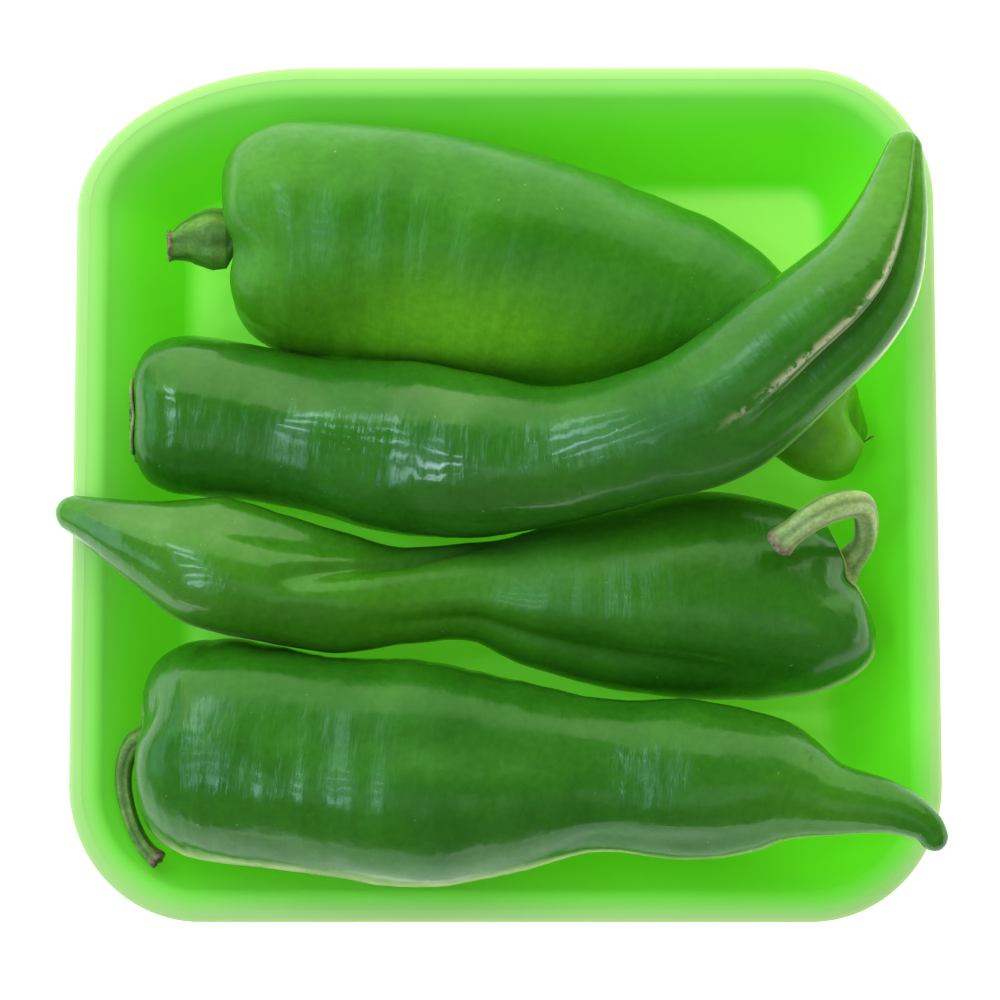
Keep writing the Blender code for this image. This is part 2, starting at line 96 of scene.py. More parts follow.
# A course row is (along, left, up, radius) in shares of the length and the half width.
# A furrow is (start degrees, end degrees, first share, last share, depth, spread), and
# fine furrows are those that the CAD leaves out. A stem row is (out, left, up, radius)
# in metres. A valley or a blossom dimple is (degrees, depth, spread), and a bulge is
# (share, degrees, reach, spread, height as a share of the radius). relax is a spot that is
# evened out: (centre, reach, passes), with both in (share, degrees). Degrees turn about
# the course, 0 to its left and 90 up; shares run from the stem, 0, to the tip, 1.
FRUITS = {
    "broad_pepper": dict(
        length=0.1495, width=0.0516, heading=-18.5, nose=0.30, calyx=0.30,
        course=(
            (0.00, 0.002, 0.000, 0.97), (0.10, 0.044, 0.000, 1.00),
            (0.24, 0.082, 0.003, 0.99), (0.39, 0.102, 0.007, 0.95),
            (0.54, 0.112, 0.003, 0.86), (0.68, 0.121, -0.007, 0.72),
            (0.78, 0.088, -0.023, 0.60), (0.86, 0.036, -0.037, 0.47),
            (0.94, 0.010, -0.047, 0.44), (1.00, 0.000, -0.047, 0.36)),
        furrows=(
            (8.0, 14.0, -0.1, 0.5, 0.05, 24.0),
            (150.0, 140.0, -0.1, 0.6, 0.05, 24.0),
            (270.0, 270.0, -0.1, 0.8, 0.06, 26.0),
            (60.0, 60.0, 0.85, 1.1, 0.12, 24.0),
            (180.0, 180.0, 0.85, 1.1, 0.12, 24.0)),
        fine=(
            (118.0, 100.0, -0.05, 0.75, 0.030, 20.0),
            (172.0, 176.0, -0.10, 0.22, 0.060, 12.0),
            (40.0, 36.0, 0.35, 0.90, 0.020, 16.0)),
        stem=(
            (0.0005, -0.0004, 0.0000, 0.0064),
            (0.0044, -0.0001, 0.0003, 0.0058),
            (0.0086, -0.0003, 0.0006, 0.0043),
            (0.0115, -0.0009, 0.0010, 0.0030),
            (0.0133, -0.0009, 0.0012, 0.0027)),
        valleys=((112.0, 0.15, 19.0), (250.0, 0.16, 18.0), (0.0, 0.05, 20.0)),
        blossom=((46.0, 0.48, 23.0), (6.0, 0.28, 26.0), (290.0, 0.32, 30.0)),
        bulges=((0.30, 186.0, 0.26, 34.0, 0.10), (0.06, 186.0, 0.10, 34.0, 0.05),
                (0.46, 204.0, 0.14, 26.0, 0.10),
                (0.80, 8.0, 0.12, 34.0, 0.10), (0.92, 40.0, 0.07, 40.0, 0.10),
                (0.93, 150.0, 0.06, 40.0, 0.08)),
        seed=3),
    "curved_pepper": dict(
        length=0.1769, width=0.0380, heading=18.9, nose=0.16, calyx=0.56,
        course=(
            (0.00, 0.000, 0.000, 0.93), (0.07, -0.024, 0.000, 0.93),
            (0.19, -0.088, 0.006, 0.88), (0.30, -0.149, 0.025, 0.99),
            (0.39, -0.194, 0.045, 0.93), (0.48, -0.225, 0.068, 0.78),
            (0.58, -0.238, 0.093, 0.75), (0.67, -0.239, 0.113, 0.81),
            (0.78, -0.202, 0.133, 0.76), (0.88, -0.158, 0.147, 0.66),
            (0.94, -0.097, 0.153, 0.45), (1.00, 0.000, 0.153, 0.15)),
        furrows=(
            (60.0, 70.0, -0.1, 0.3, 0.05, 24.0),
            (126.0, 132.0, 0.58, 1.02, 0.14, 20.0),
            (250.0, 270.0, -0.1, 0.7, 0.06, 26.0)),
        fine=(
            (127.0, 129.0, 0.64, 1.02, 0.30, 12.0),
            (100.0, 112.0, 0.02, 0.34, 0.035, 16.0)),
        stem=(
            (0.0000, 0.0000, 0.0000, 0.0036),
            (0.0007, 0.0000, 0.0000, 0.0030),
            (0.0014, 0.0000, 0.0001, 0.0026)),
        valleys=((95.0, 0.06, 22.0), (220.0, 0.08, 20.0), (330.0, 0.08, 20.0)),
        blossom=(),
        bulges=((0.86, 100.0, 0.12, 22.0, 0.06),),
        seed=11),
    "twisted_pepper": dict(
        length=0.1736, width=0.0464, heading=175.3, nose=0.14, calyx=0.42,
        course=(
            (0.00, 0.000, 0.000, 0.92), (0.05, 0.026, -0.003, 0.97),
            (0.16, 0.039, -0.006, 1.00), (0.28, 0.056, 0.000, 0.87),
            (0.39, 0.061, 0.014, 0.67), (0.47, 0.060, 0.029, 0.48),
            (0.56, 0.074, 0.046, 0.47), (0.63, 0.078, 0.063, 0.57),
            (0.72, 0.070, 0.078, 0.59), (0.81, 0.059, 0.086, 0.57),
            (0.88, 0.039, 0.086, 0.39), (0.95, 0.015, 0.075, 0.23),
            (1.00, 0.000, 0.063, 0.13)),
        furrows=(
            (150.0, 128.0, 0.40, 0.94, 0.20, 26.0),
            (30.0, 48.0, 0.06, 0.58, 0.14, 24.0),
            (100.0, 110.0, -0.1, 0.22, 0.07, 22.0),
            (262.0, 250.0, -0.1, 0.7, 0.06, 26.0)),
        fine=(
            (34.0, 52.0, 0.10, 0.60, 0.08, 9.0),
            (180.0, 84.0, 0.42, 0.72, 0.27, 13.0)),
        stem=(
            (0.0020, -0.0027, 0.0020, 0.0030),
            (0.0056, -0.0044, 0.0070, 0.0023),
            (0.0078, -0.0083, 0.0145, 0.0023),
            (0.0074, -0.0114, 0.0200, 0.0026),
            (0.0027, -0.0128, 0.0240, 0.0028),
            (-0.0030, -0.0127, 0.0255, 0.0026),
            (-0.0077, -0.0119, 0.0245, 0.0024),
            (-0.0117, -0.0110, 0.0225, 0.0025)),
        valleys=((84.0, 0.15, 17.0), (330.0, 0.12, 20.0)),
        relax=((0.07, 180.0), (0.07, 75.0), 300),
        blossom=(),
        bulges=((0.58, 75.0, 0.16, 16.0, 0.06), (0.81, 172.0, 0.10, 36.0, 0.14)),
        seed=23),
    "pointed_pepper": dict(
        length=0.1727, width=0.0492, heading=-7.0, nose=0.10, calyx=0.42,
        course=(
            (0.00, 0.008, 0.000, 0.96), (0.10, 0.018, 0.000, 1.00),
            (0.22, 0.014, -0.001, 0.97), (0.35, 0.018, -0.004, 1.00),
            (0.46, 0.026, -0.013, 0.86), (0.57, 0.038, -0.019, 0.65),
            (0.69, 0.046, -0.019, 0.67), (0.79, 0.057, -0.010, 0.55),
            (0.86, 0.047, 0.002, 0.33), (0.93, 0.044, 0.013, 0.23),
            (0.98, 0.027, 0.013, 0.15), (1.00, 0.000, 0.010, 0.10)),
        furrows=(
            (32.0, 24.0, -0.1, 0.16, 0.06, 22.0),
            (70.0, 84.0, 0.30, 0.72, 0.05, 24.0),
            (160.0, 146.0, 0.40, 0.76, 0.06, 22.0),
            (270.0, 270.0, -0.1, 0.7, 0.05, 26.0)),
        fine=(
            (74.0, 82.0, -0.02, 0.62, 0.065, 17.0),
            (146.0, 140.0, 0.50, 0.92, 0.04, 12.0)),
        stem=(
            (0.0004, 0.0018, -0.0014, 0.0032),
            (0.0028, 0.0010, -0.0014, 0.0022),
            (0.0044, -0.0018, -0.0018, 0.0018),
            (0.0053, -0.0067, -0.0032, 0.0016),
            (0.0044, -0.0126, -0.0036, 0.0015),
            (0.0025, -0.0177, -0.0036, 0.0015),
            (0.0000, -0.0217, -0.0032, 0.0016),
            (-0.0030, -0.0243, -0.0028, 0.0016)),
        valleys=((62.0, 0.12, 26.0), (220.0, 0.10, 20.0), (300.0, 0.12, 20.0)),
        blossom=(),
        bulges=((0.66, 12.0, 0.11, 32.0, 0.10), (0.54, 12.0, 0.06, 32.0, 0.05)),
        seed=37),
}


# --------------------------------------------------------------- shape maths
def follow(rows, shares):
    """Smooth curve through rows at shares (0..1) of its run, vectorised."""
    rows = np.array(rows, float)
    run = np.concatenate(
        ([0.0], np.cumsum(np.linalg.norm(np.diff(rows[:, :3], axis=0), axis=1)))
    )
    here = np.clip(np.atleast_1d(shares), 0.0, 1.0) * run[-1]
    last = len(rows) - 1
    i = np.clip(np.searchsorted(run, here, side="left") - 1, 0, last - 1)
    low = np.maximum(np.arange(last + 1) - 1, 0)
    high = np.minimum(np.arange(last + 1) + 1, last)
    slope = (rows[high] - rows[low]) / (run[high] - run[low])[:, None]
    step = (run[i + 1] - run[i])[:, None]
    t = ((here - run[i]) / (run[i + 1] - run[i]))[:, None]
    return (
        (2 * t ** 3 - 3 * t ** 2 + 1) * rows[i]
        + (3 * t ** 2 - 2 * t ** 3) * rows[i + 1]
        + step * ((t ** 3 - 2 * t ** 2 + t) * slope[i]
                  + (t ** 3 - t ** 2) * slope[i + 1])
    )


def unit(v):
    return v / np.linalg.norm(v, axis=-1, keepdims=True)


def run_length(fruit):
    points = np.array(fruit["course"])[:, :3]
    return np.linalg.norm(np.diff(points, axis=0), axis=1).sum() * fruit["length"]


def furrow_factor(furrows, shares, degrees):
    factor = np.ones(np.broadcast(shares, degrees).shape)
    for start, end, low, high, depth, spread in furrows:
        t = (shares - low) / (high - low)
        inside = (t > 0.0) & (t < 1.0)
        fade = np.where(inside, np.sin(np.pi * np.clip(t, 0, 1)) ** 0.7, 0.0)
        away = around_off(degrees, start + (end - start) * t)
        factor = factor - depth * fade * np.exp(-(away / spread) ** 2)
    return factor


def swells(seed, shares, degrees):
    """Gentle unevenness of a grown skin, stretched along the fruit."""
    random = np.random.default_rng(seed)
    turn = np.radians(degrees)
    total = np.zeros(np.broadcast(shares, degrees).shape)
    for around, along, amount, count in (
        ((1, 4), (3, 14), 0.0075, 9),
        ((3, 8), (8, 34), 0.0028, 12),
        ((7, 16), (20, 80), 0.0009, 12),
        ((0, 2), (60, 150), 0.0026, 10),
        ((0, 4), (180, 380), 0.0008, 12),
    ):
        for _ in range(count):
            k = random.integers(around[0], around[1] + 1)
            f = random.uniform(*along) * random.choice((-1.0, 1.0))
            phase = random.uniform(0.0, 2 * np.pi)
            total = total + amount / math.sqrt(count) * 1.6 * np.cos(
                k * turn + f * shares + phase
            )
    return 1.0 + total


def around_off(degrees, centre):
    """Signed turn from a centre, -180 to 180 degrees."""
    return (degrees - centre + 180.0) % 360.0 - 180.0


def dips(rows, degrees):
    """How deep each direction lies between lobes, from (degrees, depth, spread)."""
    depth = np.zeros(np.shape(degrees))
    for angle, amount, spread in rows:
        depth = depth + amount * np.exp(-(around_off(degrees, angle) / spread) ** 2)
    return depth


def fine_form(fruit, s, d, scales, tip_radius, r):
    """Radii with grown detail, and how far the skin sinks along the course."""
    r = r * furrow_factor(fruit["fine"], s, d) * swells(fruit["seed"], s, d)
    valley = dips(fruit["valleys"], d)
    r = r * (1.0 - 0.7 * valley * np.exp(-(s / 0.10) ** 2))
    dimple = dips(fruit["blossom"], d)
    end = np.exp(-((1.0 - s) / 0.05) ** 2) * (s > 0.5)
    r = r * (1.0 - 0.6 * dimple * end)
    for share, angle, reach, spread, amount in fruit["bulges"]:
        r = r * (1.0 + amount * np.exp(-((s - share) / reach) ** 2
                                       - (around_off(d, angle) / spread) ** 2))
    outward = np.clip(scales / 0.75, 0, 1) ** 2
    sink = 0.5 * fruit["width"] * valley * outward * np.exp(-(s / 0.05) ** 2)
    if fruit["blossom"]:
        dimple = 0.30 + (dimple - 0.30) * np.clip(scales / 0.6, 0, 1)
        sink = sink - 0.5 * fruit["width"] * tip_radius * dimple * end
    return r, sink


def ring_points(fruit, shares, scales, degrees, detail, shift=0.0):
    """Points (ring, around, xyz) of a fruit in its own frame."""
    shares = np.asarray(shares, float)
    scales = np.asarray(scales, float)
    low = follow(fruit["course"], np.maximum(shares - LOOK, 0.0))
    high = follow(fruit["course"], np.minimum(shares + LOOK, 1.0))
    here = follow(fruit["course"], shares)
    ahead = unit(high[:, :3] - low[:, :3])
    left = unit(np.cross(np.array((0.0, 0.0, 1.0)), ahead))
    up = np.cross(ahead, left)
    centre = here[:, :3] * fruit["length"] - ahead * shift
    half = 0.5 * fruit["width"] * here[:, 3] * scales
    s = shares[:, None]
    d = np.asarray(degrees, float)[None, :]
    r = half[:, None] * furrow_factor(fruit["furrows"], s, d)
    sink = np.zeros(r.shape)
    if detail:
        r, sink = fine_form(fruit, s, d, scales[:, None], here[-1, 3], r)
    turn = np.radians(d)
    return (
        centre[:, None, :]
        + ahead[:, None, :] * sink[..., None]
        + left[:, None, :] * (r * np.cos(turn))[..., None]
        + up[:, None, :] * (r * np.sin(turn) * FLATNESS)[..., None]
    )


def fruit_profile(fruit, fineness):
    """Shares and scales of every ring from the stem hollow to the tip."""
    half = 0.5 * fruit["width"]
    run = run_length(fruit)
    rows = [(scale, dip * CROWN_DIP * half / run) for scale, dip in CROWN]
    rows += [(scale, depth * half / run) for scale, depth in SHOULDER]
    rows.append((1.0, SHOULDER_END * half / run))
    rows = np.array(rows)
    steps = np.linspace(0, len(rows) - 1, (len(rows) - 1) * fineness + 1)
    index = np.arange(len(rows))
    smooth = np.column_stack([catmull(index, rows[:, axis], steps) for axis in range(2)])
    nose = fruit["nose"] * half / run
    body = np.linspace(rows[-1, 1], 1.0 - nose, 24 * fineness + 1)[1:]
    turns = np.radians(np.linspace(0.0, 88.0, 5 * fineness + 1)[1:])
    shares = np.concatenate(
        (smooth[:, 1], body, 1.0 - nose * (1.0 - np.sin(turns)))
    )
    scales = np.concatenate(
        (smooth[:, 0], np.ones(len(body)), np.cos(turns))
    )
    return shares, scales


def catmull(index, values, steps):
    """Smooth curve through values at the steps, whole numbers being the values."""
    i = np.clip(np.floor(steps).astype(int), 0, len(index) - 2)
    t = steps - i
    low = values[np.maximum(i - 1, 0)]
    a, b = values[i], values[i + 1]
    high = values[np.minimum(i + 2, len(index) - 1)]
    m0, m1 = 0.5 * (b - low), 0.5 * (high - a)
    return (
        (2 * t ** 3 - 3 * t ** 2 + 1) * a + (t ** 3 - 2 * t ** 2 + t) * m0
        + (3 * t ** 2 - 2 * t ** 3) * b + (t ** 3 - t ** 2) * m1
    )


def skin_mesh(name, rings):
    """Closed mesh object over rings (ring, around, xyz), a pole at each end."""
    count, around = rings.shape[:2]
    vertices = np.concatenate((
        rings[0].mean(0)[None], rings.reshape(-1, 3), rings[-1].mean(0)[None]
    ))
    k = np.arange(around)
    n = (k + 1) % around
    faces = []
    for r in range(count - 1):
        a = 1 + r * around
        b = a + around
        faces.append(np.column_stack((a + k, a + n, b + n, b + k)))
    faces = np.concatenate(faces).tolist()
    tail = len(vertices) - 1 - around
    faces += np.column_stack((0 * k, 1 + n, 1 + k)).tolist()
    faces += np.column_stack(
        (0 * k + len(vertices) - 1, tail + k, tail + n)).tolist()
    mesh = bpy.data.meshes.new(name)
    mesh.from_pydata(vertices.tolist(), [], faces)
    mesh.update()
    if mesh_volume(vertices, faces) < 0.0:
        mesh.flip_normals()
    mesh.polygons.foreach_set("use_smooth", [True] * len(mesh.polygons))
    item = bpy.data.objects.new(name, mesh)
    scene.collection.objects.link(item)
    return item


def mesh_volume(vertices, faces):
    total = 0.0
    for face in faces:
        a = vertices[face[0]]
        for j in range(1, len(face) - 1):
            total += np.dot(a, np.cross(vertices[face[j]], vertices[face[j + 1]]))
    return total


def add_attribute(item, name, values):
    values = np.asarray(values, np.float32)
    if values.ndim == 1:
        layer = item.data.attributes.new(name, "FLOAT", "POINT")
        layer.data.foreach_set("value", values)
    else:
        layer = item.data.attributes.new(name, "FLOAT_VECTOR", "POINT")
        layer.data.foreach_set("vector", values.ravel())


# -------------------------------------------------- where each pepper rests
def rotation(axis, angle):
    x, y, z = axis
    c, s = math.cos(angle), math.sin(angle)
    return np.array((
        (c + x * x * (1 - c), x * y * (1 - c) - z * s, x * z * (1 - c) + y * s),
        (y * x * (1 - c) + z * s, c + y * y * (1 - c), y * z * (1 - c) - x * s),
        (z * x * (1 - c) - y * s, z * y * (1 - c) + x * s, c + z * z * (1 - c)),
    ))


def resting_pose(name, fruit):
    """Turn and shift that lay the plain shape into its CAD solid's box."""
    low, high = (np.array(corner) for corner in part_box(name))
    heading = math.radians(fruit["heading"])
    flat = rotation((0.0, 0.0, 1.0), heading)
    axis = (-math.sin(heading), math.cos(heading), 0.0)
    shares, scales = fruit_profile(fruit, 1)
    plain = ring_points(fruit, shares, scales, np.arange(0, 360, 15.0), False)
    plain = plain.reshape(-1, 3) @ flat.T
    best = None
    for pitch in np.radians(np.linspace(-9.0, 9.0, 721)):
        turned = plain @ rotation(axis, pitch).T
        miss = np.abs(np.ptp(turned, axis=0) - (high - low)).sum()
        if best is None or miss < best[0]:
            best = (miss, rotation(axis, pitch), turned)
    shift = 0.5 * (low + high) - 0.5 * (best[2].min(0) + best[2].max(0))
    turn = best[1] @ flat
    return lambda points: points @ turn.T + shift


# ---------------------------------------------------------------- materials
def new_material(name):
    material = bpy.data.materials.new(name)
    material.use_nodes = True
    tree = material.node_tree
    shader = tree.nodes["Principled BSDF"]
    return material, tree, shader


def node(tree, kind, **settings):
    item = tree.nodes.new(kind)
    for key, value in settings.items():
        setattr(item, key, value)
    return item


def noise(tree, coords, scale, detail=3.0, rough=0.5, stretch=None):
    if stretch is not None:
        mapping = node(tree, "ShaderNodeMapping")
        mapping.inputs["Scale"].default_value = stretch
        tree.links.new(coords, mapping.inputs["Vector"])
        coords = mapping.outputs["Vector"]
    texture = node(tree, "ShaderNodeTexNoise")
    texture.inputs["Scale"].default_value = scale
    texture.inputs["Detail"].default_value = detail
    texture.inputs["Roughness"].default_value = rough
    tree.links.new(coords, texture.inputs["Vector"])
    return texture.outputs["Fac"]


def ramp(tree, source, stops):
    item = node(tree, "ShaderNodeValToRGB")
    elements = item.color_ramp.elements
    while len(elements) < len(stops):
        elements.new(0.5)
    for element, (position, value) in zip(elements, stops):
        element.position = position
        if not hasattr(value, "__len__"):
            value = (value, value, value)
        element.color = (*value, 1.0)
    tree.links.new(source, item.inputs["Fac"])
    return item.outputs["Color"]


def blend_colour(tree, factor, a, b, mode="MIX"):
    item = node(tree, "ShaderNodeMix", data_type="RGBA", blend_type=mode)
    for value, socket in ((factor, 0), (a, 6), (b, 7)):
        if hasattr(value, "links"):
            tree.links.new(value, item.inputs[socket])
        elif socket == 0:
            item.inputs[0].default_value = value
        else:
            item.inputs[socket].default_value = (*value, 1.0)
    return item.outputs[2]


def attribute(tree, name):
    return node(tree, "ShaderNodeAttribute", attribute_name=name).outputs["Fac"]


def object_coords(tree):
    return node(tree, "ShaderNodeTexCoord").outputs["Object"]


def bump(tree, shader, height, strength, distance, before=None):
    item = node(tree, "ShaderNodeBump")
    item.inputs["Strength"].default_value = strength
    item.inputs["Distance"].default_value = distance
    tree.links.new(height, item.inputs["Height"])
    if before is not None:
        tree.links.new(before, item.inputs["Normal"])
    tree.links.new(item.outputs["Normal"], shader.inputs["Normal"])
    return item.outputs["Normal"]


def skin_material(name, deep, mid, painted_light, edge, dull):
    """Waxy pepper skin: mottled greens, lenticels, a wavy gloss, painted light and a
    painted rim reflection.
    """
    material, tree, shader = new_material(name)
    coords = object_coords(tree)
    grown = node(tree, "ShaderNodeAttribute",
                 attribute_name="grown").outputs["Vector"]
    mottle = ramp(tree, noise(tree, coords, 55.0, 4.0, 0.55),
                  ((0.30, deep), (0.70, mid)))
    # Painted light: a lighter green blended in where the skin should look lit.
    with_painted_light = blend_colour(tree, attribute(tree, "painted_light"), mottle, painted_light)
    fine = ramp(tree, noise(tree, coords, 620.0, 2.0, 0.5),
                ((0.35, 0.92), (0.65, 1.05)))
    toned = blend_colour(tree, 1.0, with_painted_light, fine, "MULTIPLY")
    speck = ramp(tree, noise(tree, coords, 1500.0, 0.0, 0.5),
                 ((0.80, 0.0), (0.84, 1.0)))
    sparse = ramp(tree, noise(tree, coords, 210.0, 1.0, 0.5),
                  ((0.62, 0.0), (0.70, 0.55)))
    dots = blend_colour(tree, 1.0, speck, sparse, "MULTIPLY")
    dotted = blend_colour(tree, dots, toned, (0.42, 0.50, 0.30))
    # Painted rim reflection: the pale edge colour where the skin turns away, to front and
    # right.
    with_painted_rim = blend_colour(tree, painted_rim_mask(tree, coords), dotted, edge)
    torn = ramp(tree, noise(tree, coords, 240.0, 4.0, 0.7),
                ((0.42, 0.0), (0.52, 1.0)))
    scar = blend_colour(tree, 1.0, torn, attribute(tree, "scar"), "MULTIPLY")
    final = blend_colour(tree, scar, with_painted_rim, (0.56, 0.54, 0.36))
    tree.links.new(final, shader.inputs["Base Color"])
    gloss = ramp(tree, noise(tree, coords, 70.0, 4.0, 0.6),
                 ((0.32, 0.15 + dull), (0.72, 0.33 + dull)))
    worn = blend_colour(tree, attribute(tree, "matt"), gloss, (0.75, 0.75, 0.75))
    tree.links.new(worn, shader.inputs["Roughness"])
    shader.inputs["Specular Tint"].default_value = (0.72, 1.0, 0.85, 1.0)
    shader.inputs["IOR"].default_value = 1.46
    shader.inputs["Subsurface Weight"].default_value = 0.08
    shader.inputs["Subsurface Radius"].default_value = (0.5, 1.0, 0.2)
    shader.inputs["Subsurface Scale"].default_value = 0.003
    polish = ramp(tree, noise(tree, coords, 48.0, 2.0, 0.5),
                  ((0.40, 0.10), (0.60, 1.0)))
    polish = blend_colour(tree, 1.0, polish, attribute(tree, "wax"), "MULTIPLY")
    tree.links.new(polish, shader.inputs["Coat Weight"])
    shader.inputs["Coat Roughness"].default_value = 0.07
    waves = noise(tree, coords, 130.0, 2.0, 0.5)
    first = bump(tree, shader, waves, 0.30, 0.0012)
    hoops = noise(tree, grown, 95.0, 3.0, 0.55, (3.2, 0.6, 0.6))
    second = bump(tree, shader, hoops, 0.22, 0.0012, first)
    pores = noise(tree, coords, 1100.0, 3.0, 0.6)
    bump(tree, shader, pores, 0.08, 0.0002, second)
    return material


def painted_rim_mask(tree, coords):
    """Painted rim reflection: a pale colour where the skin turns away, to front and right.
    """
    normal = node(tree, "ShaderNodeNewGeometry").outputs["Normal"]
    side = node(tree, "ShaderNodeVectorMath", operation="DOT_PRODUCT")
    tree.links.new(normal, side.inputs[0])
    side.inputs[1].default_value = (0.35, -0.93, 0.0)
    facing = node(tree, "ShaderNodeLayerWeight").outputs["Facing"]
    turned = ramp(tree, facing, ((0.62, 0.0), (0.80, 1.0)))
    sided = ramp(tree, side.outputs["Value"], ((0.30, 0.0), (0.75, 1.0)))
    patchy = ramp(tree, noise(tree, coords, 38.0, 3.0, 0.6),
                  ((0.34, 0.45), (0.60, 1.0)))
    both = blend_colour(tree, 1.0, turned, sided, "MULTIPLY")
    both = blend_colour(tree, 1.0, both, attribute(tree, "painted_rim"), "MULTIPLY")
    return blend_colour(tree, 1.0, both, patchy, "MULTIPLY")


def stem_material(name, deep, pale):
    """Ribbed fibrous stalk that turns brown at its cut end."""
    material, tree, shader = new_material(name)
    coords = object_coords(tree)
    base = ramp(tree, noise(tree, coords, 260.0, 4.0, 0.6),
                ((0.30, deep), (0.72, pale)))
    ribs = blend_colour(tree, attribute(tree, "rib"), base,
                        tuple(0.55 * part for part in deep))
    grain = ramp(tree, noise(tree, coords, 1400.0, 3.0, 0.6),
                 ((0.35, 0.78), (0.66, 1.10)))
    ribs = blend_colour(tree, 1.0, ribs, grain, "MULTIPLY")
    brown = ramp(tree, noise(tree, coords, 900.0, 3.0, 0.6),
                 ((0.35, (0.090, 0.055, 0.028)), (0.65, (0.40, 0.32, 0.22))))
    final = blend_colour(tree, attribute(tree, "dry"), ribs, brown)
    tree.links.new(final, shader.inputs["Base Color"])
    shader.inputs["Roughness"].default_value = 0.55
    first = bump(tree, shader, noise(tree, coords, 300.0, 3.0, 0.55),
                 0.35, 0.0005)
    bump(tree, shader, noise(tree, coords, 1700.0, 2.0, 0.6), 0.2, 0.0002,
         first)
    return material


def tray_material():
    """Thin green moulded sheet with painted light: paler at the rim and on the floor, and
    a painted glow given off as emission, darker on the outside as painted shade.
    """
    material, tree, shader = new_material("tray_sheet")
    coords = object_coords(tree)
    body = ramp(tree, noise(tree, coords, 22.0, 3.0, 0.5),
                ((0.30, (0.100, 0.700, 0.006)), (0.72, (0.130, 0.800, 0.016))))
    # Paler floor: painted light shining through the sheet.
    body = blend_colour(tree, attribute(tree, "floor"), body,
                        (0.56, 0.94, 0.22))
    # Paler rim: painted light.
    rim = blend_colour(tree, attribute(tree, "rim"), body,
                       (0.36, 0.66, 0.20))
    smudge = ramp(tree, noise(tree, coords, 9.0, 5.0, 0.6),
                  ((0.30, 0.93), (0.70, 1.03)))
    final = blend_colour(tree, 1.0, rim, smudge, "MULTIPLY")
    tree.links.new(final, shader.inputs["Base Color"])
    # Emission is a painted glow of light through the sheet, paler at the rim and darker on
    # the outside as painted shade.
    lit = blend_colour(tree, attribute(tree, "rim"), (0.13, 0.76, 0.012),
                       (0.47, 0.56, 0.34))
    lit = blend_colour(tree, attribute(tree, "outside"), lit,
                       (0.075, 0.42, 0.008))
    tree.links.new(lit, shader.inputs["Emission Color"])
    shader.inputs["Emission Strength"].default_value = 0.34
    worn = ramp(tree, noise(tree, coords, 160.0, 4.0, 0.6),
                ((0.30, 0.55), (0.70, 0.70)))
    tree.links.new(worn, shader.inputs["Roughness"])
    shader.inputs["Specular IOR Level"].default_value = 0.3
    first = bump(tree, shader, noise(tree, coords, 45.0, 2.0, 0.5),
                 0.25, 0.0010)
    bump(tree, shader, noise(tree, coords, 2200.0, 2.0, 0.5), 0.12, 0.0001,
         first)
    return material


# ------------------------------------------------------------------- pieces
def patch(shares, degrees, centre, reach):
    """Soft spot on a skin: centre and reach are (share, degrees)."""
    return np.exp(-((shares - centre[0]) / reach[0]) ** 2
                  - (around_off(degrees, centre[1]) / reach[1]) ** 2)


def with_poles(values):
    return np.concatenate((
        [values[0].mean()], values.reshape(-1), [values[-1].mean()]
    ))


def relaxed(points, weight, passes):
    """Rings evened out where the weight is high, as skin rounds a fold."""
    for _ in range(passes):
        near = 0.25 * (np.roll(points, 1, 1) + np.roll(points, -1, 1))
        near[1:-1] += 0.25 * (points[2:] + points[:-2])
        near[0] += 0.5 * points[0]
        near[-1] += 0.5 * points[-1]
        points = points + weight[..., None] * (near - points)
    return points


def make_fruit(name, fruit, pose, material, **layers):
    """Skin of one fruit; a layer is (base, spots) and becomes an attribute."""
    shares, scales = fruit_profile(fruit, FINENESS)
    points = ring_points(fruit, shares, scales, DEGREES, True)
    if "relax" in fruit:
        centre, reach, passes = fruit["relax"]
        spot = patch(shares[:, None], DEGREES[None, :], centre, reach)
        points = relaxed(points, spot * (scales[:, None] > 0.6), passes)
    item = skin_mesh(name + "_skin", pose(points))
    s, d = shares[:, None], DEGREES[None, :]
    along = np.broadcast_to(s * run_length(fruit), points.shape[:2])
    turn = np.radians(np.broadcast_to(d, points.shape[:2]))
    half = 0.5 * fruit["width"]
    grown = np.stack((along, half * np.cos(turn), half * np.sin(turn)), -1)
    grown = np.concatenate((grown[:1].mean(1), grown.reshape(-1, 3),
                            grown[-1:].mean(1)))
    add_attribute(item, "grown", grown)
    for label, (base, spots) in layers.items():
        values = np.full((len(shares), AROUND), base)
        for centre, reach, amount in spots:
            values = values + amount * patch(s, d, centre, reach)
        add_attribute(item, label, np.clip(with_poles(values), 0, 1))
    item.data.materials.append(material)
    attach(item, "root")
    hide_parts(name)
    return item


def course_frame(fruit):
    """Start of a course with the directions ahead, left and up, in metres."""
    low = follow(fruit["course"], [0.0])[0]
    high = follow(fruit["course"], [LOOK])[0]
    ahead = unit(high[:3] - low[:3])
    left = unit(np.cross((0.0, 0.0, 1.0), ahead))
    return low[:3] * fruit["length"], ahead, left, np.cross(ahead, left)


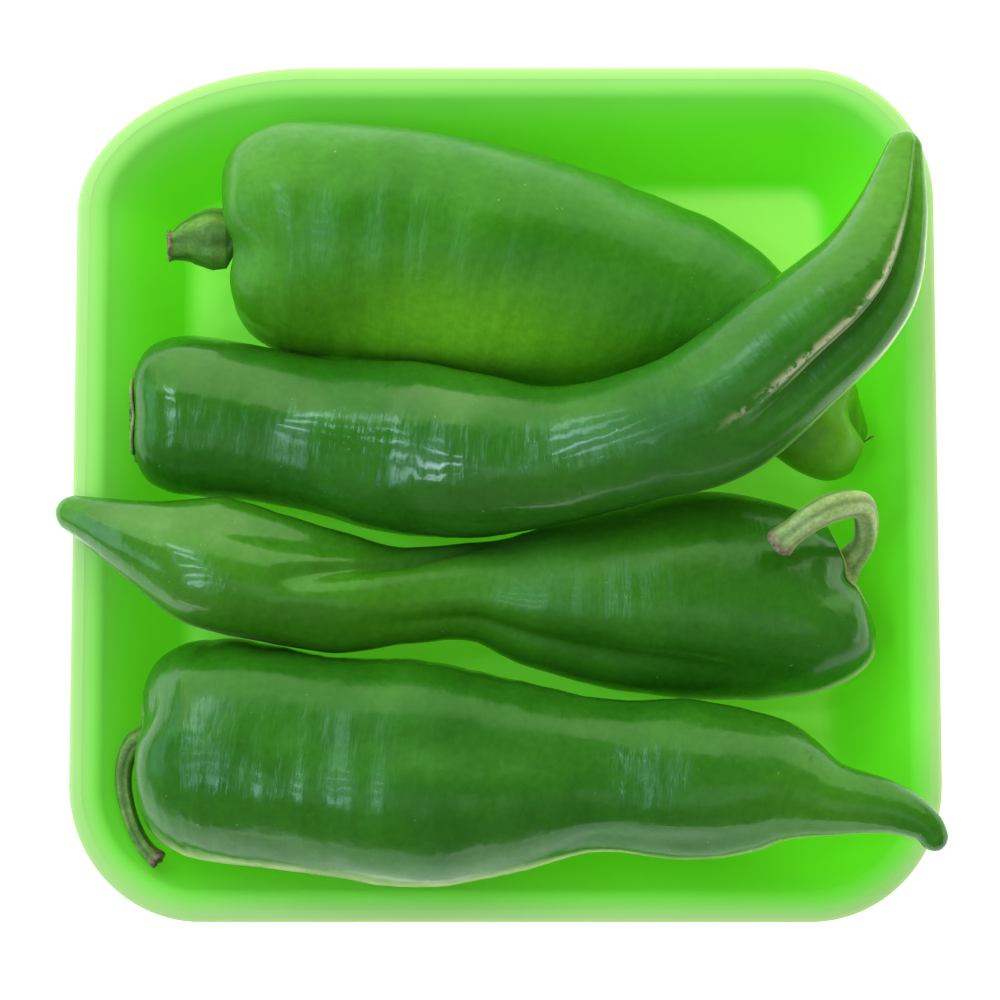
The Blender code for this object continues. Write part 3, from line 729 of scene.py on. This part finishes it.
def calyx_rings(fruit, turn, teeth):
    """Rings of the calyx, a toothed plate that follows the stem hollow."""
    hollow = np.array(CROWN)
    depth = CROWN_DIP * 0.5 * fruit["width"] / run_length(fruit)
    rows = []

    def ring(t, spread, gap):
        scale = CALYX_START + (fruit["calyx"] - CALYX_START) * t
        share = np.interp(scale, hollow[:, 0], hollow[:, 1]) * depth
        base = ring_points(fruit, [share], [scale * spread], np.degrees(turn), True,
                           gap)[0]
        middle = base.mean(0)
        return middle + (base - middle) * (1.0 + (teeth - 1.0) * t ** 2)[:, None]

    steps = np.linspace(0.0, 1.0, 9)
    for t in steps:
        rows.append((ring(t, 1.0, STEM_GAP), np.zeros(len(turn)),
                     0.25 * t ** 6 * (teeth > 1.09)))
    veins = 0.5 + 0.5 * np.cos(10 * turn)
    for t in steps[::-1][:6]:
        thick = CALYX_THICKNESS * (0.55 + 0.6 * (1 - t))
        rows.append((ring(t, 0.97, STEM_GAP + thick), 0.5 * veins * (1 - t),
                     0.5 * t ** 4 * (teeth > 1.08)))
    return rows


def stalk_rings(fruit, turn, rough):
    """Rings of the ribbed stalk, from the calyx to its cut end."""
    centre, ahead, left, up = course_frame(fruit)
    path = np.array([
        np.append(centre - ahead * out + left * side + up * rise, radius)
        for out, side, rise, radius in fruit["stem"]
    ])
    count = 12 * (len(path) - 1)
    flat = left
    rows = []
    for share in np.arange(count + 1) / count:
        here = follow(path, [share])[0]
        onward = unit(follow(path, [min(share + 0.02, 1.0)])[0, :3]
                      - follow(path, [max(share - 0.02, 0.0)])[0, :3])
        flat = unit(flat - onward * np.dot(flat, onward))
        other = -np.cross(onward, flat)
        twist = turn * 5 + 1.8 * share
        wave = 1.0 + 0.055 * np.cos(twist) + 0.018 * np.cos(turn * 11 - 2.0 * share)
        flare = 1.0 + 0.18 * np.exp(-((1 - share) / 0.05) ** 2)
        radius = here[3] * wave * flare * (1.0 + 0.12 * min(4 * share, 1.0))
        ring = here[:3] + (flat * np.cos(turn)[:, None]
                           + other * np.sin(turn)[:, None]) * radius[:, None]
        rows.append((ring, 0.75 * (0.5 - 0.5 * np.cos(twist)) ** 1.5,
                     np.full(len(turn), np.clip((share - 0.93) / 0.05, 0, 1))))
    tip = rows[-1][0]
    middle = tip.mean(0)
    for scale, sink in ((0.86, -0.00025), (0.62, 0.00035), (0.32, 0.00060)):
        ring = middle + (tip - middle) * scale \
            - onward * (sink + 0.00022 * rough)[:, None]
        rows.append((ring, np.zeros(len(turn)), np.ones(len(turn))))
    return rows


def make_stem(name, fruit, pose, material):
    turn = np.radians(np.arange(STEM_AROUND) * 360.0 / STEM_AROUND)
    random = np.random.default_rng(fruit["seed"] + 100)
    teeth = 1.0 + 0.10 * np.cos(5 * turn + random.uniform(0, 6)) \
        + 0.05 * np.cos(9 * turn + random.uniform(0, 6))
    rough = random.uniform(-1, 1, STEM_AROUND)
    rows = calyx_rings(fruit, turn, teeth) + stalk_rings(fruit, turn, rough)
    rings, rib, dry = (np.array(column) for column in zip(*rows))
    item = skin_mesh(name + "_stalk", pose(rings))
    add_attribute(item, "rib", with_poles(rib))
    add_attribute(item, "dry", with_poles(dry))
    item.data.materials.append(material)
    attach(item, "root")
    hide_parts(name + "_stem")


def make_style(fruit, pose, material):
    """Dry thread left of the flower, standing in the blossom end."""
    degrees = np.arange(0, 360, 45.0)
    turn = np.radians(degrees)
    root = ring_points(fruit, [1.0], [0.05], degrees, True)[0].mean(0)
    before = follow(fruit["course"], [0.97])[0, :3] * fruit["length"]
    onward = unit(root - before)
    side = unit(np.cross(onward, (0.0, 0.0, 1.0)))
    lean = unit(onward - 1.6 * side)
    across = unit(np.cross(lean, (0.0, 0.0, 1.0)))
    other = np.cross(across, lean)
    rings = []
    for step, radius in ((-0.0012, 0.00030), (0.0006, 0.00024),
                         (0.0020, 0.00020), (0.0034, 0.00028)):
        middle = root - side * 0.0012 + lean * step + other * 60.0 * step ** 2
        rings.append(middle + radius * (
            across * np.cos(turn)[:, None] + other * np.sin(turn)[:, None]))
    item = skin_mesh("broad_pepper_style", pose(np.array(rings)))
    count = len(item.data.vertices)
    add_attribute(item, "rib", np.zeros(count))
    add_attribute(item, "dry", np.ones(count))
    item.data.materials.append(material)
    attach(item, "root")
    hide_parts("broad_pepper")


def make_tray(material):
    low, high = (np.array(corner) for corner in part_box("tray"))
    length, width, height = high - low
    centre = 0.5 * (low + high)
    lean = (height - SHEET) / WALL_RUN
    foot = LIP_WIDTH + WALL_RUN
    inner = [
        (0.0000, height - LIP_DROP), (0.0006, height - 0.5 * LIP_DROP),
        (0.0012, height - 0.25 * LIP_DROP), (0.0026, height),
        (LIP_WIDTH - 0.4 * ROLL, height - 0.01 * ROLL),
        (LIP_WIDTH + 0.15 * ROLL, height - 0.14 * ROLL),
        (LIP_WIDTH + 0.6 * ROLL, height - 0.6 * ROLL * lean),
        (foot - 0.9 * BEND, SHEET + 0.95 * BEND * lean),
        (foot - 0.2 * BEND, SHEET + 0.42 * BEND),
        (foot + 0.7 * BEND, SHEET + 0.06 * BEND), (foot + 2.0 * BEND, SHEET),
    ]
    index = np.arange(len(inner))
    steps = np.linspace(0, len(inner) - 1, (len(inner) - 1) * 5 + 1)
    inner = np.array(inner)
    inner = np.column_stack([catmull(index, inner[:, a], steps)
                             for a in range(2)])
    inner[:, 0] = np.maximum(inner[:, 0], 0.0)
    slope = unit(np.gradient(inner, axis=0))
    outer = inner + np.column_stack((slope[:, 1], -slope[:, 0])) * SHEET
    outer[:, 1] = np.maximum(outer[:, 1], 0.0)
    outer[:, 0] = np.maximum(outer[:, 0], 0.0)

    def ring(inset, z):
        """Rounded rectangle, inset from the rim's edge, at a height."""
        arcs = []
        for quarter, (sx, sy, reach) in enumerate((
                (1, 1, CORNER), (-1, 1, SOFT_CORNER), (-1, -1, CORNER), (1, -1, CORNER))):
            rx, ry = (max(part - inset, LEAST_CORNER) for part in reach)
            turn = 0.5 * math.pi * (quarter + np.linspace(0, 1, 25))
            arcs.append(np.column_stack((
                sx * (0.5 * length - inset - rx) + rx * np.cos(turn),
                sy * (0.5 * width - inset - ry) + ry * np.sin(turn),
                np.full(len(turn), z))))
        t = np.linspace(0, 1, 17)[1:-1][:, None]
        sides = [arc[-1] * (1 - t) + following[0] * t
                 for arc, following in zip(arcs, arcs[1:] + arcs[:1])]
        return np.concatenate([part for pair in zip(arcs, sides) for part in pair])

    top = [ring(inset, z) for inset, z in inner]
    hem = ring(0.0, height - LIP_DROP - 0.5 * SHEET)
    under = [ring(inset, z) for inset, z in outer]
    inward = [np.array((scale, scale, 1.0)) for scale in (0.8, 0.55, 0.3, 0.1)]
    top += [top[-1] * scale for scale in inward]
    under += [under[-1] * scale for scale in inward]
    rings = np.array(top[::-1] + [hem] + under)
    flat = [foot + 2.0 * BEND] * len(inward)
    inset = np.concatenate((flat, inner[::-1, 0], [0.0], outer[:, 0], flat))
    ripple = 0.00018 * np.sin(rings[..., 0] * 95) * np.sin(rings[..., 1] * 80)
    wall = np.clip((inset - 0.006) / 0.004, 0, 1) \
        * np.clip((0.024 - inset) / 0.004, 0, 1)
    rings[..., 2] += ripple * wall[:, None]
    rings = rings + centre * np.array((1.0, 1.0, 0.0))
    item = skin_mesh("tray_sheet", rings)
    # The rim's paler band is painted light, wider towards the back and the left.
    spread = 0.0052 + 0.0020 * rings[..., 1] / width \
        - 0.0016 * rings[..., 0] / length
    rim = np.exp(-(inset[:, None] / spread) ** 1.7)
    add_attribute(item, "rim", with_poles(rim))
    # On the outside the painted glow is darker, as painted shade.
    outside = np.zeros(rings.shape[:2])
    outside[len(top):] = 1.0
    add_attribute(item, "outside", with_poles(outside))
    # Floor mask for painted light, stronger towards the back right; the outside gets none.
    spill = 0.0030 * np.clip(2 * rings[..., 0] / length, 0, 1) \
        * np.clip(0.5 - rings[..., 1] / width, 0, 1)
    level = (inset[:, None] + spill - foot + 0.6 * BEND) / (1.6 * BEND)
    level = np.clip(level, 0, 1)
    level = level * level * (3.0 - 2.0 * level)
    lit = 0.55 + 0.45 * np.clip(
        (rings[..., 0] / length + 0.5 * rings[..., 1] / width + 0.1) / 0.6,
        0, 1)
    add_attribute(item, "floor", with_poles(level * lit * (1.0 - outside)))
    item.data.materials.append(material)
    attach(item, "root")
    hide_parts("tray")


# ------------------------------------------------------- colours and layers
# Deep and mid green of the mottle, the lighter green painted as light where the skin
# should look lit, the pale colour of the painted rim reflection, and how much roughness is
# added.
SKINS = {
    "dark_skin": dict(deep=(0.021, 0.145, 0.006), mid=(0.038, 0.210, 0.010),
                      painted_light=(0.120, 0.400, 0.012), edge=(0.88, 0.86, 0.62), dull=0.0),
    "light_skin": dict(deep=(0.028, 0.205, 0.004), mid=(0.050, 0.270, 0.006),
                       painted_light=(0.205, 0.600, 0.020), edge=(0.09, 0.27, 0.02), dull=0.13),
}
# Deep and pale green of each stem.
STALKS = {
    "broad_pepper": ((0.075, 0.250, 0.018), (0.210, 0.420, 0.070)),
    "curved_pepper": ((0.140, 0.270, 0.040), (0.300, 0.440, 0.140)),
    "twisted_pepper": ((0.320, 0.480, 0.150), (0.560, 0.680, 0.330)),
    "pointed_pepper": ((0.100, 0.240, 0.035), (0.280, 0.460, 0.110)),
}
# A layer is (amount everywhere, spots), and a spot is (centre, reach, amount) with the
# centre and the reach in (share, degrees). The layer that lightens the green is painted
# light where the skin should look lit, the layer that lets the pale edge colour show is a
# painted rim reflection, wax is a clear coat, matt roughens, and scar is corky tissue on a
# ridge.
LAYERS = {
    "broad_pepper": dict(
        painted_light=(0.0, (((0.38, 146.0), (0.20, 30.0), 1.0),
                    ((0.18, 186.0), (0.22, 30.0), 0.5),
                    ((0.06, 90.0), (0.07, 180.0), 0.15),
                    ((0.96, 90.0), (0.13, 180.0), 0.75))),
        wax=(0.06, ()),
        matt=(0.0, (((0.46, 204.0), (0.14, 34.0), 1.0),))),
    "curved_pepper": dict(
        painted_light=(0.0, (((0.97, 90.0), (0.12, 180.0), 0.75),)),
        painted_rim=(0.0, (((0.80, 180.0), (0.14, 120.0), 1.0),)),
        wax=(0.10, (((0.09, 90.0), (0.12, 180.0), 0.55),
                    ((0.37, 90.0), (0.11, 180.0), 0.84),
                    ((0.84, 90.0), (0.12, 180.0), 0.30))),
        matt=(0.0, (((0.60, 90.0), (0.09, 180.0), 0.35),)),
        scar=(0.0, tuple(((share, 117.0 - 12.0 * share), (0.035, 3.2), 1.0)
                         for share in (0.68, 0.73, 0.78, 0.83, 0.87)))),
    "twisted_pepper": dict(
        painted_light=(0.0, (((0.54, 70.0), (0.16, 90.0), 0.38),
                    ((0.80, 60.0), (0.12, 120.0), 0.30),
                    ((0.24, 110.0), (0.14, 50.0), 0.15),
                    ((0.98, 90.0), (0.03, 200.0), 0.4))),
        painted_rim=(0.0, (((0.02, 0.0), (0.16, 90.0), 0.8),
                     ((0.88, 0.0), (0.14, 90.0), 0.6))),
        wax=(0.12, (((0.90, 90.0), (0.09, 180.0), 0.84),
                    ((0.75, 90.0), (0.08, 180.0), 0.80))),
        matt=(0.0, (((0.46, 170.0), (0.12, 50.0), 1.0),
                    ((0.40, 90.0), (0.12, 60.0), 0.30)))),
    "pointed_pepper": dict(
        painted_light=(0.0, (((0.86, 110.0), (0.08, 90.0), 0.32),)),
        painted_rim=(0.0, (((0.20, 180.0), (0.60, 150.0), 1.6),)),
        wax=(0.22, ()),
        matt=(0.0, (((0.30, 80.0), (0.24, 30.0), 0.15),))),
}

make_tray(tray_material())
for fruit_name, fruit in FRUITS.items():
    slot = "light_skin" if fruit_name == "broad_pepper" else "dark_skin"
    pose = resting_pose(fruit_name, fruit)
    skin = skin_material(fruit_name + "_skin", **SKINS[slot])
    piece = make_fruit(fruit_name, fruit, pose, skin, **LAYERS[fruit_name])
    stalk = stem_material(fruit_name + "_stalk", *STALKS[fruit_name])
    make_stem(fruit_name, fruit, pose, stalk)
    if fruit["blossom"]:
        make_style(fruit, pose, stalk)


# ----------------------------------------------------------- stage and light
def plane(name, size, z):
    mesh = bpy.data.meshes.new(name)
    s = size / 2
    mesh.from_pydata([(-s, -s, z), (s, -s, z), (s, s, z), (-s, s, z)], [],
                     [(0, 1, 2, 3)])
    item = bpy.data.objects.new(name, mesh)
    scene.collection.objects.link(item)
    return item


floor = plane("floor", 6.0, 0.0)
paper, _, paper_shader = new_material("pale_floor")
paper_shader.inputs["Base Color"].default_value = (0.85, 0.85, 0.85, 1.0)
paper_shader.inputs["Roughness"].default_value = 0.9
paper_shader.inputs["Emission Color"].default_value = (1.0, 1.0, 1.0, 1.0)
paper_shader.inputs["Emission Strength"].default_value = 0.9
floor.data.materials.append(paper)


def panel(name, place, target, size, radiance, colour):
    """Area light of a given radiance, aimed at a point."""
    data = bpy.data.lights.new(name, "AREA")
    data.shape = "RECTANGLE"
    data.size, data.size_y = size
    data.energy = radiance * math.pi * size[0] * size[1]
    data.color = colour
    item = bpy.data.objects.new(name, data)
    item.location = place
    aim = Vector(target) - Vector(place)
    item.rotation_euler = aim.to_track_quat("-Z", "Y").to_euler()
    scene.collection.objects.link(item)
    return item


def overhead(name, north, east, size, radiance, colour):
    """Light seen by a level surface tilted so far north and east (degrees)."""
    a, b = math.radians(north), math.radians(east)
    reach = 1.4
    place = (reach * math.sin(b), reach * math.sin(a) * math.cos(b),
             reach * math.cos(a) * math.cos(b))
    return panel(name, place, (0.0, 0.0, 0.03), size, radiance, colour)


panel("north_sky", (0.0, 1.0, 0.57), (0.0, 0.0, 0.03), (2.6, 1.26), 1.72,
      (0.84, 1.0, 0.56))
overhead("roof_sheet", -20.0, 6.0, (0.9, 0.62), 0.50, (0.90, 1.0, 0.90))
for east in (-27.5, -23.5):
    for north in (-30.0, -14.0, 2.0, 18.0, 34.0):
        overhead("pane_%d_%d" % (east, north), north, east, (0.07, 0.34), 9.0,
                 (0.66, 0.88, 1.0))
panel("west_window", (-1.2, 0.15, 0.50), (0.0, 0.0, 0.03), (1.2, 0.5), 1.5,
      (0.62, 0.92, 1.0))
panel("low_south", (0.0, -1.1, 0.09), (0.0, 0.0, 0.02), (1.8, 0.09), 2.6,
      (1.0, 0.95, 0.88))
panel("low_east", (1.1, 0.0, 0.14), (0.0, 0.0, 0.02), (1.4, 0.16), 2.6,
      (1.0, 0.95, 0.90))
world = bpy.data.worlds.new("studio")
world.use_nodes = True
world.node_tree.nodes["Background"].inputs["Color"].default_value = (
    1.0, 1.0, 0.72, 1.0)
world.node_tree.nodes["Background"].inputs["Strength"].default_value = 0.25
scene.world = world
